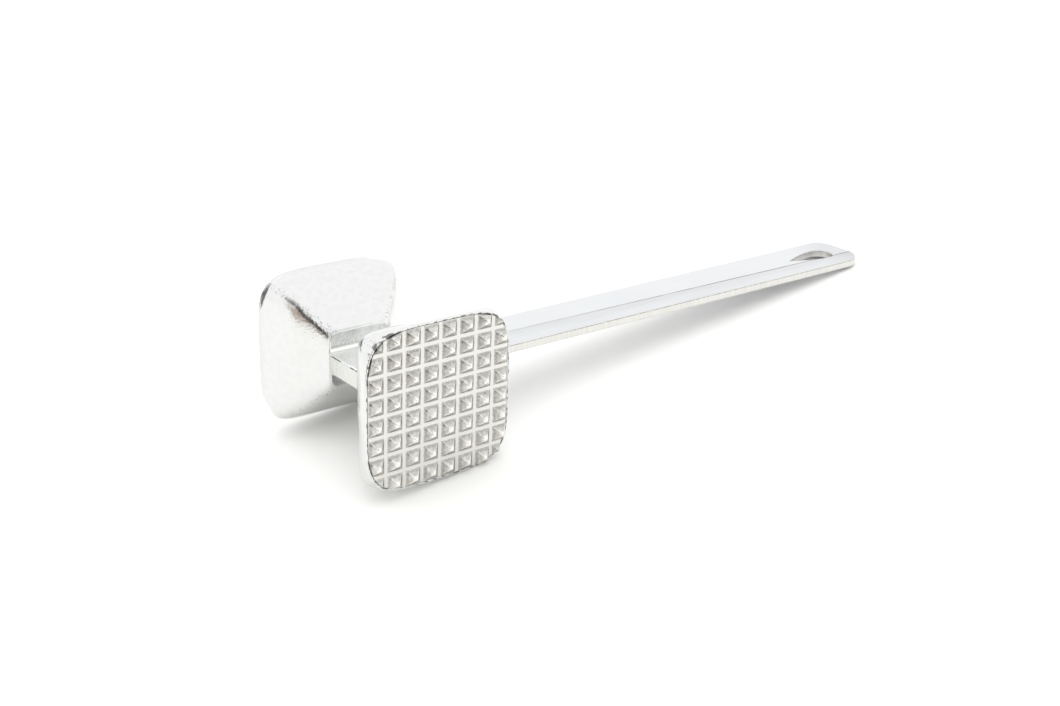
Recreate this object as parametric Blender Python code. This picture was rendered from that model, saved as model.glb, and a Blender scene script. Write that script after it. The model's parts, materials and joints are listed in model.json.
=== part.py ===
"""Two-sided meat mallet in cast aluminium: a bar handle, a hub, two flared bells, a toothed and a smooth plate.

Every piece is first laid out in the mallet's own frame. X runs from the head along the handle, Y along the
head from its front face to its back face, and Z up through the flat of the handle. The head's centre is the
origin of that frame. Last, the whole mallet is laid down at rest, on its head and the end of its handle.
"""

import math

import bmesh
import bpy
from mathutils import Vector

# Driving dimensions, in metres unless a name says otherwise.
FIT_GAP = 0.0003

HEAD_LENGTH = 0.0652  # from the toothed plate's groove floor to the smooth plate's face
FRONT_WIDTH = 0.0508  # of the front bell's face, at its lip
BACK_WIDTH = 0.0493
PLATE_THICKNESS = 0.0030
FACE_EXPONENT = 4.5  # of the superellipse that gives the faces their bowed sides and round corners

TOOTH_PITCH = 0.00625
TOOTH_GROOVE = 0.0014
TOOTH_HEIGHT = 0.0025
TOOTH_TIP_WIDTH = 0.0004

FRONT_LIP_WIDTH = 0.0005
FRONT_LIP_ROUND = 0.0004
BACK_LIP_WIDTH = 0.0020
BACK_LIP_ROUND = 0.0015
FLARE_RADIUS = 0.0240
FLARE_START = math.radians(8.0)
BELL_NECK_WIDTH = 0.0218
BELL_NECK_HEIGHT = 0.0187
NECK_EXPONENT = 9.0

BOSS_DIAMETER = 0.0100
BOSS_LENGTH = 0.0035
BOSS_TO_SCREW = 0.0007

HUB_SPAN = 0.0220  # between the two bells
HUB_SEAT = 0.0015  # how far the hub is let into each bell
HUB_BACK = 0.0120  # from the head's axis away from the handle
HUB_FRONT = 0.0140  # from the head's axis towards the handle
HUB_WALL = 0.0014  # over and under the tang
HUB_EDGE_ROUND = 0.0008
HUB_BORE_WALL = 0.0012  # between the tang's slot and each screw's bore
HUB_END_WALL = 0.0035

HANDLE_REACH = 0.2166  # from the head's axis to the handle's end
HANDLE_THICKNESS = 0.0032
HANDLE_ROOT_WIDTH = 0.0218
HANDLE_END_WIDTH = 0.0234
HANDLE_FRONT_CORNER = 0.0088
HANDLE_BACK_CORNER = 0.0060
HANDLE_EDGE_ROUND = 0.0004
TANG_WIDTH = 0.0080

HANG_HOLE_RADIUS = 0.0046
HANG_HOLE_TAPER = 0.0183  # from the round end's centre to the point
HANG_HOLE_INSET = 0.0126  # from the handle's end to the round end's centre

SCREW_DIAMETER = 0.0040
SCREW_HEAD_DIAMETER = 0.0070
SCREW_HEAD_HEIGHT = 0.0040
SCREW_SOCKET = 0.0030  # across flats
SCREW_SOCKET_DEPTH = 0.0020

PIN_DIAMETER = 0.0030
PIN_CHAMFER = 0.0003
INNER_PIN_X = 0.0045
OUTER_PIN_X = 0.0105

# Facets on the curved shapes.
OUTLINE_STEPS = 72
CORNER_STEPS = 8
BORE_STEPS = 32
FLARE_STEPS = 6
LIP_STEPS = 3

# Sizes that follow from the ones above.
HEAD_HALF = HEAD_LENGTH / 2
RECESS_FLOOR = HEAD_HALF - PLATE_THICKNESS - FIT_GAP
BOSS_END = HEAD_HALF - PLATE_THICKNESS - BOSS_LENGTH
SCREW_TOP = BOSS_END - BOSS_TO_SCREW
SCREW_SEAT = SCREW_TOP - SCREW_HEAD_HEIGHT - FIT_GAP
BELL_END = HUB_SPAN / 2
HUB_HALF_SPAN = BELL_END + HUB_SEAT
SLOT_HALF_HEIGHT = HANDLE_THICKNESS / 2 + FIT_GAP
SLOT_HALF_WIDTH = TANG_WIDTH / 2 + FIT_GAP
HUB_HALF_HEIGHT = SLOT_HALF_HEIGHT + HUB_WALL
SLOT_END = -HUB_BACK + HUB_END_WALL
HUB_BORE_FLOOR = SLOT_HALF_WIDTH + HUB_BORE_WALL
CUT_MARGIN = 0.002  # how far a cutter runs past the face that it opens


def clear_scene():
    for obj in list(bpy.data.objects):
        bpy.data.objects.remove(obj, do_unlink=True)


def make_material(name, colour, roughness, metallic=1.0):
    material = bpy.data.materials.new(name)
    material.use_nodes = True
    shader = material.node_tree.nodes["Principled BSDF"]
    shader.inputs["Base Color"].default_value = (*colour, 1.0)
    shader.inputs["Roughness"].default_value = roughness
    shader.inputs["Metallic"].default_value = metallic
    material.diffuse_color = (*colour, 1.0)
    return material


def make_empty(name, parent=None, rotation=(0.0, 0.0, 0.0)):
    empty = bpy.data.objects.new(name, None)
    empty.empty_display_size = 0.02
    empty.parent = parent
    empty.rotation_euler = rotation
    bpy.context.scene.collection.objects.link(empty)
    return empty


def add_object(name, mesh, parent, material=None):
    obj = bpy.data.objects.new(name, mesh)
    obj.parent = parent
    bpy.context.scene.collection.objects.link(obj)
    if material is not None:
        mesh.materials.append(material)
    mesh.shade_smooth()
    mesh.set_sharp_from_angle(angle=math.radians(35.0))
    return obj


def mesh_from(bm, name):
    bmesh.ops.recalc_face_normals(bm, faces=bm.faces)
    mesh = bpy.data.meshes.new(name)
    bm.to_mesh(mesh)
    bm.free()
    return mesh


def cut(target, name, mesh, operation="DIFFERENCE"):
    """Cuts mesh from target, or joins or intersects the two, and keeps mesh as a hidden helper."""
    helper = add_object(name, mesh, target.parent)
    helper.hide_render = True
    helper.display_type = "WIRE"
    modifier = target.modifiers.new(name, "BOOLEAN")
    modifier.operation = operation
    modifier.solver = "EXACT"
    modifier.object = helper


def loft(name, rings):
    """A closed solid through rings of points, each ring with the same number of points."""
    bm = bmesh.new()
    loops = [[bm.verts.new(point) for point in ring] for ring in rings]
    count = len(rings[0])
    for lower, upper in zip(loops, loops[1:]):
        for i in range(count):
            j = (i + 1) % count
            bm.faces.new((lower[i], lower[j], upper[j], upper[i]))
    bm.faces.new(loops[0])
    bm.faces.new(loops[-1])
    return mesh_from(bm, name)


def box(name, low, high):
    bm = bmesh.new()
    bmesh.ops.create_cube(bm, size=1.0)
    low, high = Vector(low), Vector(high)
    for vert in bm.verts:
        for axis in range(3):
            vert.co[axis] = high[axis] if vert.co[axis] > 0 else low[axis]
    return mesh_from(bm, name)


def turned(name, profile, steps=BORE_STEPS):
    """A solid turned about Z from (radius, z) pairs, lowest first."""
    rings = []
    for radius, z in profile:
        angles = [math.tau * i / steps for i in range(steps)]
        rings.append([(radius * math.cos(a), radius * math.sin(a), z) for a in angles])
    return loft(name, rings)


def superellipse(half_x, half_y, exponent, z):
    """A ring of points with bowed sides and round corners, at height z."""
    ring = []
    for i in range(OUTLINE_STEPS):
        angle = math.tau * (i + 0.5) / OUTLINE_STEPS
        c, s = math.cos(angle), math.sin(angle)
        radius = (abs(c) ** exponent + abs(s) ** exponent) ** (-1 / exponent)
        ring.append((half_x * radius * c, half_y * radius * s, z))
    return ring


def flare_end_angle(narrowing, length):
    """The angle of a bell's straight flank, which follows its arc and ends at the neck."""
    low, high = FLARE_START, math.radians(80.0)
    for _ in range(50):
        middle = (low + high) / 2
        if flare_narrowing(length, length, middle) < narrowing:
            low = middle
        else:
            high = middle
    return middle


def flare_narrowing(depth, length, end_angle):
    """How much less a bell's half width is at this depth behind its face."""
    arc_depth = min(FLARE_RADIUS * (math.sin(end_angle) - math.sin(FLARE_START)), length)
    if depth <= arc_depth:
        angle = math.asin(math.sin(FLARE_START) + depth / FLARE_RADIUS)
        return FLARE_RADIUS * (math.cos(FLARE_START) - math.cos(angle))
    arc_narrowing = flare_narrowing(arc_depth, length, end_angle)
    return arc_narrowing + (depth - arc_depth) * math.tan(end_angle)


def bell_rings(bell_half, lip_round):
    """Rings from the neck at the hub out to the rounded lip around the plate."""
    length = HEAD_HALF - lip_round - BELL_END
    x_angle = flare_end_angle(bell_half - BELL_NECK_WIDTH / 2, length)
    y_angle = flare_end_angle(bell_half - BELL_NECK_HEIGHT / 2, length)
    rings = []
    for i in range(2 * FLARE_STEPS + 1):
        depth = length * (1 - i / (2 * FLARE_STEPS))
        half_x = bell_half - flare_narrowing(depth, length, x_angle)
        half_y = bell_half - flare_narrowing(depth, length, y_angle)
        exponent = FACE_EXPONENT + (NECK_EXPONENT - FACE_EXPONENT) * depth / length
        rings.append(superellipse(half_x, half_y, exponent, HEAD_HALF - lip_round - depth))
    for i in range(1, LIP_STEPS + 1):
        angle = math.pi / 2 * i / LIP_STEPS
        half = bell_half - lip_round * (1 - math.cos(angle))
        rings.append(superellipse(half, half, FACE_EXPONENT, HEAD_HALF - lip_round * (1 - math.sin(angle))))
    return rings


def make_bell(name, side, material, width, lip_width, lip_round):
    """One flared bell, with a seat for the hub, a bore for its screw and a recess for its plate."""
    rings = bell_rings(width / 2, min(lip_round, 0.95 * lip_width))
    bell = add_object(name, loft(name, rings), side, material)
    top = HEAD_HALF + CUT_MARGIN
    half = width / 2 - lip_width
    recess = [superellipse(half, half, FACE_EXPONENT, z) for z in (RECESS_FLOOR, top)]
    cut(bell, name + "_recess", loft("recess", recess))
    boss_bore = BOSS_DIAMETER / 2 + FIT_GAP
    head_bore = SCREW_HEAD_DIAMETER / 2 + FIT_GAP
    shank_bore = SCREW_DIAMETER / 2 + FIT_GAP
    boss_floor = BOSS_END - FIT_GAP
    bore_profile = (
        (shank_bore, BELL_END - CUT_MARGIN),
        (shank_bore, SCREW_SEAT),
        (head_bore, SCREW_SEAT),
        (head_bore, boss_floor),
        (boss_bore, boss_floor),
        (boss_bore, RECESS_FLOOR + CUT_MARGIN),
    )
    cut(bell, name + "_bore", turned("bore", bore_profile))
    seat_reach = width / 2
    seat_height = HUB_HALF_HEIGHT + FIT_GAP
    seat = box(
        "seat",
        (-seat_reach, -seat_height, BELL_END - CUT_MARGIN),
        (seat_reach, seat_height, HUB_HALF_SPAN + FIT_GAP),
    )
    cut(bell, name + "_seat", seat)
    return bell


def tooth_field(name, plate_half):
    """A slab whose top carries a square grid of four-sided pyramids, with a flat border all round."""
    count = round(2 * plate_half / TOOTH_PITCH)
    border = 2 * plate_half
    field = count * TOOTH_PITCH / 2
    lines = [-border] + [TOOTH_PITCH * i - field for i in range(count + 1)] + [border]
    bottom = HEAD_HALF - PLATE_THICKNESS
    bm = bmesh.new()
    floor = [[bm.verts.new((x, y, HEAD_HALF)) for y in lines] for x in lines]
    base = (TOOTH_PITCH - TOOTH_GROOVE) / 2
    tip = TOOTH_TIP_WIDTH / 2
    around = ((-1, -1), (1, -1), (1, 1), (-1, 1))
    for i in range(len(lines) - 1):
        for j in range(len(lines) - 1):
            cell = (floor[i][j], floor[i + 1][j], floor[i + 1][j + 1], floor[i][j + 1])
            if not (0 < i <= count and 0 < j <= count):
                bm.faces.new(cell)
                continue
            x, y = (lines[i] + lines[i + 1]) / 2, (lines[j] + lines[j + 1]) / 2
            feet = [bm.verts.new((x + sx * base, y + sy * base, HEAD_HALF)) for sx, sy in around]
            tips = [bm.verts.new((x + sx * tip, y + sy * tip, HEAD_HALF + TOOTH_HEIGHT)) for sx, sy in around]
            for k in range(4):
                n = (k + 1) % 4
                bm.faces.new((cell[k], cell[n], feet[n], feet[k]))
                bm.faces.new((feet[k], feet[n], tips[n], tips[k]))
            bm.faces.new(tips)
    rim = [floor[i][0] for i in range(len(lines))]
    rim += [floor[-1][j] for j in range(1, len(lines))]
    rim += [floor[i][-1] for i in range(len(lines) - 2, -1, -1)]
    rim += [floor[0][j] for j in range(len(lines) - 2, 0, -1)]
    under = [bm.verts.new((vert.co.x, vert.co.y, bottom)) for vert in rim]
    for k in range(len(rim)):
        n = (k + 1) % len(rim)
        bm.faces.new((rim[k], rim[n], under[n], under[k]))
    bm.faces.new(under)
    return mesh_from(bm, name)


def add_boss(plate):
    """Joins the round boss on a plate's back, which seats in its bell."""
    chamfer = BOSS_LENGTH / 8
    profile = (
        (BOSS_DIAMETER / 2 - chamfer, BOSS_END),
        (BOSS_DIAMETER / 2, BOSS_END + chamfer),
        (BOSS_DIAMETER / 2, HEAD_HALF - PLATE_THICKNESS / 2),
    )
    cut(plate, plate.name + "_boss", turned("boss", profile), "UNION")


def make_tooth_plate(name, side, material):
    """The toothed plate: the tooth field trimmed to the face's outline."""
    half = FRONT_WIDTH / 2 - FRONT_LIP_WIDTH - FIT_GAP
    plate = add_object(name, tooth_field(name, half), side, material)
    low = HEAD_HALF - PLATE_THICKNESS - CUT_MARGIN
    high = HEAD_HALF + TOOTH_HEIGHT + CUT_MARGIN
    outline = [superellipse(half, half, FACE_EXPONENT, z) for z in (low, high)]
    cut(plate, name + "_outline", loft("outline", outline), "INTERSECT")
    add_boss(plate)


def make_pounding_plate(name, side, material):
    """The smooth plate, flush with the lip around it."""
    half = BACK_WIDTH / 2 - BACK_LIP_WIDTH - FIT_GAP
    outline = [superellipse(half, half, FACE_EXPONENT, z) for z in (HEAD_HALF - PLATE_THICKNESS, HEAD_HALF)]
    plate = add_object(name, loft(name, outline), side, material)
    add_boss(plate)


def make_screw(name, side, material):
    """The socket-head screw that draws a bell onto the hub."""
    shank = SCREW_DIAMETER / 2
    head = SCREW_HEAD_DIAMETER / 2
    chamfer = SCREW_DIAMETER / 8
    seat = SCREW_SEAT + FIT_GAP
    profile = (
        (shank - chamfer, HUB_BORE_FLOOR + FIT_GAP),
        (shank, HUB_BORE_FLOOR + FIT_GAP + chamfer),
        (shank, seat),
        (head, seat),
        (head, SCREW_TOP - chamfer),
        (head - chamfer, SCREW_TOP),
    )
    screw = add_object(name, turned(name, profile), side, material)
    radius = SCREW_SOCKET / math.sqrt(3)
    socket = ((radius, SCREW_TOP - SCREW_SOCKET_DEPTH), (radius, SCREW_TOP + CUT_MARGIN))
    cut(screw, name + "_socket", turned("socket", socket, steps=6))
    return screw


def make_hub(name, mallet, material):
    """The block between the bells, with a slot for the tang, two screw bores and two pin holes."""
    low = (-HUB_BACK, -HUB_HALF_SPAN, -HUB_HALF_HEIGHT)
    high = (HUB_FRONT, HUB_HALF_SPAN, HUB_HALF_HEIGHT)
    hub = add_object(name, box(name, low, high), mallet, material)
    bevel = hub.modifiers.new("edges", "BEVEL")
    bevel.width = HUB_EDGE_ROUND
    bevel.segments = 3
    slot = box(
        "slot",
        (SLOT_END, -SLOT_HALF_WIDTH, -SLOT_HALF_HEIGHT),
        (HUB_FRONT + CUT_MARGIN, SLOT_HALF_WIDTH, SLOT_HALF_HEIGHT),
    )
    cut(hub, name + "_slot", slot)
    bore = SCREW_DIAMETER / 2 + FIT_GAP
    for sign, label in ((-1, "front"), (1, "back")):
        ends = sorted((sign * HUB_BORE_FLOOR, sign * (HUB_HALF_SPAN + CUT_MARGIN)))
        mesh = turned("screw_bore", ((bore, ends[0]), (bore, ends[1])))
        for vert in mesh.vertices:
            x, y, z = vert.co
            vert.co = (x, z, -y)
        cut(hub, name + "_" + label + "_bore", mesh)
    for x, label in ((INNER_PIN_X, "inner"), (OUTER_PIN_X, "outer")):
        cut(hub, name + "_" + label + "_pin_hole", pin_hole(x))
    return hub


def pin_hole(x):
    radius = PIN_DIAMETER / 2 + FIT_GAP
    reach = HUB_HALF_HEIGHT + CUT_MARGIN
    mesh = turned("pin_hole", ((radius, -reach), (radius, reach)))
    for vert in mesh.vertices:
        vert.co.x += x
    return mesh


def handle_outline():
    """The handle's plan: a narrow tang in the hub, then a bar that widens to its rounded end."""
    shoulder = HUB_FRONT + FIT_GAP
    tang_end = SLOT_END + FIT_GAP
    tang = TANG_WIDTH / 2
    root = HANDLE_ROOT_WIDTH / 2
    end = HANDLE_END_WIDTH / 2
    sides = []
    for corner in (HANDLE_BACK_CORNER, HANDLE_FRONT_CORNER):
        side = [(tang_end, tang), (shoulder, tang), (shoulder, root)]
        for i in range(CORNER_STEPS + 1):
            angle = math.pi / 2 * (1 - i / CORNER_STEPS)
            x = HANDLE_REACH - corner * (1 - math.cos(angle))
            side.append((x, end - corner * (1 - math.sin(angle))))
        sides.append(side)
    back, front = sides
    return back + [(x, -y) for x, y in reversed(front)]


def hang_hole_outline():
    """The hanging hole: a half circle near the handle's end, closing in to a point towards the head."""
    centre = HANDLE_REACH - HANG_HOLE_INSET
    half = []
    for i in range(1, CORNER_STEPS):
        share = i / CORNER_STEPS
        half.append((centre - HANG_HOLE_TAPER * (1 - share), HANG_HOLE_RADIUS * math.sin(math.pi / 2 * share)))
    for i in range(CORNER_STEPS):
        angle = math.pi / 2 * (1 - i / CORNER_STEPS)
        half.append((centre + HANG_HOLE_RADIUS * math.cos(angle), HANG_HOLE_RADIUS * math.sin(angle)))
    point = [(centre - HANG_HOLE_TAPER, 0.0)]
    end = [(centre + HANG_HOLE_RADIUS, 0.0)]
    return point + half + end + [(x, -y) for x, y in reversed(half)]


def make_handle(name, mallet, material):
    """The flat bar, pierced for hanging, with its tang drilled for the two pins."""
    half = HANDLE_THICKNESS / 2
    outline = handle_outline()
    handle = add_object(
        name, loft(name, [[(x, y, z) for x, y in outline] for z in (-half, half)]), mallet, material
    )
    reach = half + CUT_MARGIN
    hole = [[(x, y, z) for x, y in hang_hole_outline()] for z in (-reach, reach)]
    cut(handle, name + "_hang_hole", loft("hang_hole", hole))
    bevel = handle.modifiers.new("edges", "BEVEL")
    bevel.width = HANDLE_EDGE_ROUND
    bevel.segments = 2
    bevel.limit_method = "ANGLE"
    bevel.angle_limit = math.radians(50.0)
    for x, label in ((INNER_PIN_X, "inner"), (OUTER_PIN_X, "outer")):
        cut(handle, name + "_" + label + "_pin_hole", pin_hole(x))
    return handle


def make_pin(name, mallet, material, x):
    """A pin through the hub and the tang, flush with the hub."""
    radius = PIN_DIAMETER / 2
    half = HUB_HALF_HEIGHT
    profile = (
        (radius - PIN_CHAMFER, -half),
        (radius, -half + PIN_CHAMFER),
        (radius, half - PIN_CHAMFER),
        (radius - PIN_CHAMFER, half),
    )
    pin = add_object(name, turned(name, profile), mallet, material)
    pin.location.x = x
    return pin


def world_points(nodes):
    bpy.context.view_layer.update()
    graph = bpy.context.evaluated_depsgraph_get()
    points = []
    for node in nodes:
        evaluated = node.evaluated_get(graph)
        mesh = evaluated.to_mesh()
        points += [evaluated.matrix_world @ vert.co for vert in mesh.vertices]
        evaluated.to_mesh_clear()
    return points


def lay_down(mallet, bells, handle):
    """Tips the mallet until its bells and its handle's end touch one level surface, at Z = 0."""
    head = world_points(bells)
    bar = world_points([handle])
    low, high = 0.0, 1.0
    for _ in range(50):
        slope = (low + high) / 2
        head_rest = min(point.z - slope * point.x for point in head)
        bar_rest = min(point.z - slope * point.x for point in bar)
        if bar_rest > head_rest:
            low = slope
        else:
            high = slope
    mallet.rotation_euler.y = math.atan(slope)
    points = world_points([node for node in bpy.data.objects if node.type == "MESH" and not node.hide_render])
    spans = [(min(p[axis] for p in points), max(p[axis] for p in points)) for axis in range(3)]
    mallet.location = (-sum(spans[0]) / 2, -sum(spans[1]) / 2, -spans[2][0])


def main():
    clear_scene()
    polished = make_material("polished_cast_aluminium", (0.80, 0.81, 0.82), 0.18)
    satin = make_material("satin_cast_aluminium", (0.66, 0.66, 0.64), 0.42)
    drawn = make_material("satin_polished_aluminium", (0.76, 0.78, 0.80), 0.30)
    steel = make_material("zinc_plated_steel", (0.55, 0.55, 0.53), 0.35)

    mallet = make_empty("mallet")
    front = make_empty("front_side", mallet, (math.pi / 2, 0.0, 0.0))
    back = make_empty("back_side", mallet, (-math.pi / 2, 0.0, 0.0))

    handle = make_handle("handle_bar", mallet, drawn)
    make_hub("hub", mallet, polished)
    make_pin("inner_tang_pin", mallet, steel, INNER_PIN_X)
    make_pin("outer_tang_pin", mallet, steel, OUTER_PIN_X)
    front_bell = make_bell("front_bell", front, polished, FRONT_WIDTH, FRONT_LIP_WIDTH, FRONT_LIP_ROUND)
    back_bell = make_bell("back_bell", back, polished, BACK_WIDTH, BACK_LIP_WIDTH, BACK_LIP_ROUND)
    make_tooth_plate("tooth_plate", front, satin)
    make_pounding_plate("pounding_plate", back, drawn)
    make_screw("front_bell_screw", front, steel)
    make_screw("back_bell_screw", back, steel)
    lay_down(mallet, (front_bell, back_bell), handle)


if __name__ == "__main__":
    main()
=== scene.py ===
"""Looks for the meat mallet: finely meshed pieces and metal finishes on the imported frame, and a pale studio.

Every piece is meshed in the mallet's own frame. X runs from the head along the handle, Y along the head from its
toothed face to its smooth face, and Z up through the flat of the handle. The head's centre is the origin.
"""

import json
import math
import random

import bmesh
import bpy
from mathutils import Matrix, Vector


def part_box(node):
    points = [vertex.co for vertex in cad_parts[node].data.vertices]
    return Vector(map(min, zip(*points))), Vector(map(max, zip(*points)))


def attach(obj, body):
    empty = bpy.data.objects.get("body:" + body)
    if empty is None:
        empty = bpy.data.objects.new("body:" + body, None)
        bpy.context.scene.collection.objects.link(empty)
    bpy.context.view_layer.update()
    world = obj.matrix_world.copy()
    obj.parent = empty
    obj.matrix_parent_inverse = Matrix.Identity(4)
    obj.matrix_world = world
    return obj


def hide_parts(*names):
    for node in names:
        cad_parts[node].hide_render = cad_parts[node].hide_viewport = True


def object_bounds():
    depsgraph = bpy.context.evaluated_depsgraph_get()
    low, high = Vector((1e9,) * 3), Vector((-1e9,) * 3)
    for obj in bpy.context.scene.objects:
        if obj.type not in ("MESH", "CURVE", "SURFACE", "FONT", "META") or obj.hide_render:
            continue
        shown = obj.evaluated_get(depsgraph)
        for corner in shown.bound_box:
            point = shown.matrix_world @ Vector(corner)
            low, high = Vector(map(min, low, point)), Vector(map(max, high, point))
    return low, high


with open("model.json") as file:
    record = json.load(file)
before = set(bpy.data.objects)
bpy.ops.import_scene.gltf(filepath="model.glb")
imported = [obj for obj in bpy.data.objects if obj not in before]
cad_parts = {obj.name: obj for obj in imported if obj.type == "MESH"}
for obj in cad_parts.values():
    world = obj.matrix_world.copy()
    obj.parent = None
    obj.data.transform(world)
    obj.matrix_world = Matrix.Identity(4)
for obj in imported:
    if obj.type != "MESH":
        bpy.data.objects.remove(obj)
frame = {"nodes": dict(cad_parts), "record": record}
CAD_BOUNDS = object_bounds()

bl_info = {
    "name": "Meat mallet",
    "version": (1, 0, 0),
    "blender": (4, 5, 0),
    "location": "View3D > Sidebar > Mallet",
    "description": "Builds the pieces, finishes and studio of a cast aluminium meat mallet",
    "category": "Object",
}

MM = 0.001
CLEARANCE = 0.3 * MM
SHANK_RADIUS = 2.0 * MM
SCREW_HEAD_HEIGHT = 4.0 * MM
BOSS_RADIUS = 5.0 * MM
PIN_SLACK = 0.06 * MM
# How far a cutter reaches past the face that it opens.
PAST = 2.0 * MM
FACE_SQUARENESS = 4.5
WAIST_SQUARENESS = 10.0
NECK_SQUARENESS = 8.0
FLAG_BEARING = -42.0
FLAG_DISTANCE = 0.26
SMOOTH = {"interpolation_type": "SMOOTHSTEP"}


def mallet_matrix():
    """From the mallet's own frame to the row's, out of the record's handle face and the boxes of the bells."""
    mounts = {mount["name"]: mount for mount in frame["record"]["mounts"]}
    up = Vector(mounts["handle_top"]["axis"]).normalized()
    across = Vector((0.0, 1.0, 0.0))
    along = across.cross(up)
    front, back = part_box("front_bell"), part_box("back_bell")
    centre = (front[0] + front[1]) / 2
    centre.y = (front[0].y + back[1].y) / 2
    turn = Matrix((along, across, up)).transposed().to_4x4()
    return Matrix.Translation(centre) @ turn


MALLET = mallet_matrix()


def own_box(name):
    """A CAD node's lowest and highest corner in the mallet's own frame."""
    inverse = MALLET.inverted()
    points = [inverse @ vert.co for vert in frame["nodes"][name].data.vertices]
    low = Vector([min(p[axis] for p in points) for axis in range(3)])
    high = Vector([max(p[axis] for p in points) for axis in range(3)])
    return low, high


BAR = own_box("handle_bar")
HUB = own_box("hub")
FRONT_BELL = own_box("front_bell")
BACK_BELL = own_box("back_bell")
TOOTH_PLATE = own_box("tooth_plate")
POUNDING_PLATE = own_box("pounding_plate")
SCREW = own_box("back_bell_screw")
HEAD_HALF = BACK_BELL[1].y
NECK_END = BACK_BELL[0].y
PINS = ("inner_tang_pin", "outer_tang_pin")


def length(name, description, default):
    """A size in metres, shown in the scene's unit."""
    return bpy.props.FloatProperty(name=name, description=description, default=default, unit="LENGTH", precision=5)


def degrees(name, description, value):
    """An angle given in degrees."""
    default = math.radians(value)
    return bpy.props.FloatProperty(name=name, description=description, default=default, subtype="ANGLE")


def finish_colour(name, description, code):
    """A colour from its sRGB hex code."""
    return bpy.props.FloatVectorProperty(
        name=name, description=description, default=linear(code)[:3], subtype="COLOR", min=0.0, max=1.0
    )


def linear(code):
    """An sRGB hex colour as linear RGBA."""
    values = [int(code[i : i + 2], 16) / 255 for i in (1, 3, 5)]
    return (*(v / 12.92 if v <= 0.04045 else ((v + 0.055) / 1.055) ** 2.4 for v in values), 1.0)


class HeadSettings(bpy.types.PropertyGroup):
    # A bell is 0.01 mm narrower than its CAD solid, so that rounding never takes it past that.
    front_width: length("Front width", "Width of the toothed side's bell", FRONT_BELL[1].x * 2 - 0.01 * MM)
    back_width: length("Back width", "Width of the smooth side's bell", BACK_BELL[1].x * 2 - 0.01 * MM)
    neck_width: length("Neck width", "Width of a bell where it meets the hub", 0.0218)
    neck_height: length("Neck height", "Height of a bell where it meets the hub", 0.0187)
    flare_radius: length("Flare radius", "Radius of the curve just behind a face", 0.0240)
    front_lip: length("Front lip", "Width of the lip round the toothed plate", 0.0005)
    back_lip: length("Back lip", "Width of the lip round the smooth plate", 0.0020)
    plate_thickness: length("Plate thickness", "Thickness of a plate under its face", 0.0030)
    tooth_pitch: length("Tooth pitch", "Distance from tooth to tooth", 0.00625)
    tooth_groove: length("Groove width", "Width of the flat between two teeth", 0.0014)
    tooth_fillet: length("Tooth fillet", "Radius at the foot of a tooth", 0.0008)
    hub_fillet: length("Hub fillet", "Radius where the hub meets a bell", 0.0016)


class HandleSettings(bpy.types.PropertyGroup):
    root_width: length("Root width", "Width of the bar at the head", 0.0218)
    tang_width: length("Tang width", "Width of the tongue inside the hub", 0.0080)
    front_corner: length("Front corner", "Radius of the end's front corner", 0.0088)
    back_corner: length("Back corner", "Radius of the end's back corner", 0.0060)
    edge_round: length("Edge round", "Radius along the bar's edges", 0.0005)
    hole_radius: length("Hole radius", "Radius of the hanging hole's round end", 0.0046)
    hole_taper: length("Hole taper", "From the round end's centre to the hole's point", 0.0183)
    hole_inset: length("Hole inset", "From the bar's end to the round end's centre", 0.0126)
    hole_round: length("Hole edge round", "Radius round the hole's edge", 0.0009)


class FinishSettings(bpy.types.PropertyGroup):
    polished: finish_colour("Polished casting", "Colour of the bells", "#E0E1E0")
    # The hub's top is painted lighter and its sides darker than the bells' casting: painted light and painted
    # shade.
    hub: finish_colour("Hub", "Colour of the hub's top and bottom", "#F2F3F1")
    hub_sides_shaded: finish_colour("Hub sides", "Colour of the hub's sides", "#D6D7D3")
    satin: finish_colour("Satin casting", "Colour of the toothed plate", "#DFDED9")
    belt: finish_colour("Belt-polished bar", "Colour of the handle and the smooth plate", "#DDDFE1")
    sheared: finish_colour("Sheared edge", "Colour of the bar's sides", "#DFDDDA")
    zinc: finish_colour("Zinc plate", "Colour of the screws and pins", "#B9BABC")
    # This dark colour also paints shade at the teeth's feet and in the bar's crease, and dark reflections on the
    # bells.
    soot_and_shade: finish_colour("Polishing soot", "Colour of the black left in seams", "#2C2A28")


class StageSettings(bpy.types.PropertyGroup):
    camera_place: bpy.props.FloatVectorProperty(
        name="Camera place",
        description="Where the camera stands",
        default=(-0.286881, -0.336271, 0.213234),
        subtype="TRANSLATION",
        precision=5,
    )
    azimuth: degrees("Azimuth", "Camera's turn about Z", -36.5596)
    elevation: degrees("Elevation", "Camera's height angle", 25.7162)
    roll: degrees("Roll", "Camera's turn about its line of sight", 3.68)
    lens: bpy.props.FloatProperty(
        name="Lens", description="Focal length", default=47.263, subtype="DISTANCE_CAMERA", min=1.0
    )
    floor_colour: finish_colour("Floor", "Colour of the floor", "#FBFBF9")


# Meshes.


def mesh_from(bm, name):
    """Ends a bmesh as a mesh with its faces turned outwards."""
    bmesh.ops.recalc_face_normals(bm, faces=bm.faces)
    mesh = bpy.data.meshes.new(name)
    bm.to_mesh(mesh)
    bm.free()
    return mesh


def loft(name, rings):
    """A closed mesh through rings of points, each ring with the same number of points."""
    bm = bmesh.new()
    loops = [[bm.verts.new(point) for point in ring] for ring in rings]
    count = len(rings[0])
    for lower, upper in zip(loops, loops[1:]):
        for i in range(count):
            j = (i + 1) % count
            bm.faces.new((lower[i], lower[j], upper[j], upper[i]))
    bm.faces.new(loops[0])
    bm.faces.new(loops[-1])
    return mesh_from(bm, name)


def block(name, low, high):
    """A box between two corners."""
    corners = [(low[0], low[1]), (high[0], low[1]), (high[0], high[1]), (low[0], high[1])]
    return loft(name, [[(x, y, z) for x, y in corners] for z in (low[2], high[2])])


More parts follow.
